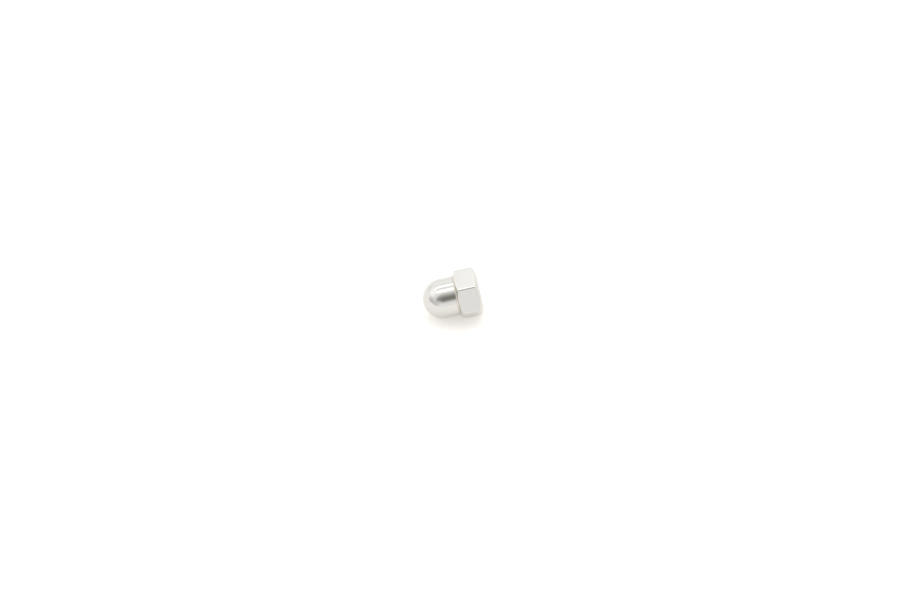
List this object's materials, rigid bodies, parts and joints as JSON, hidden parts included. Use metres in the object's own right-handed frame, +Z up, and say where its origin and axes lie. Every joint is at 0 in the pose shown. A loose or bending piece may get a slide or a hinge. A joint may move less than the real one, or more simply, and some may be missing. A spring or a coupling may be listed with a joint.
{
  "type": "cap nut",
  "caption": "Hexagonal cap nut: a chamfered hexagon closed by a round dome over a blind threaded hole.",
  "frame": {"origin": "Centre of the bearing face, on the thread's axis. The surface that the nut lies on is 4.55 mm below it.", "axes": "The nut lies as it comes to rest. +Z is up from the surface. +X is level, towards the side that the thread's mouth faces. The thread's axis is in the XZ plane, and out of the mouth it points 8.68 degrees above +X. The nut is symmetric about the XZ plane, and one flat of the hexagon is underneath."},
  "size_m": [0.0106, 0.0092, 0.0085],
  "materials": {
    "polished_steel": "polished stainless steel: bright, slightly warm reflections, with faint turning lines on the dome and the bearing face"
  },
  "bodies": {
    "root": {"cap_nut": "polished_steel"}
  },
  "joints": []
}
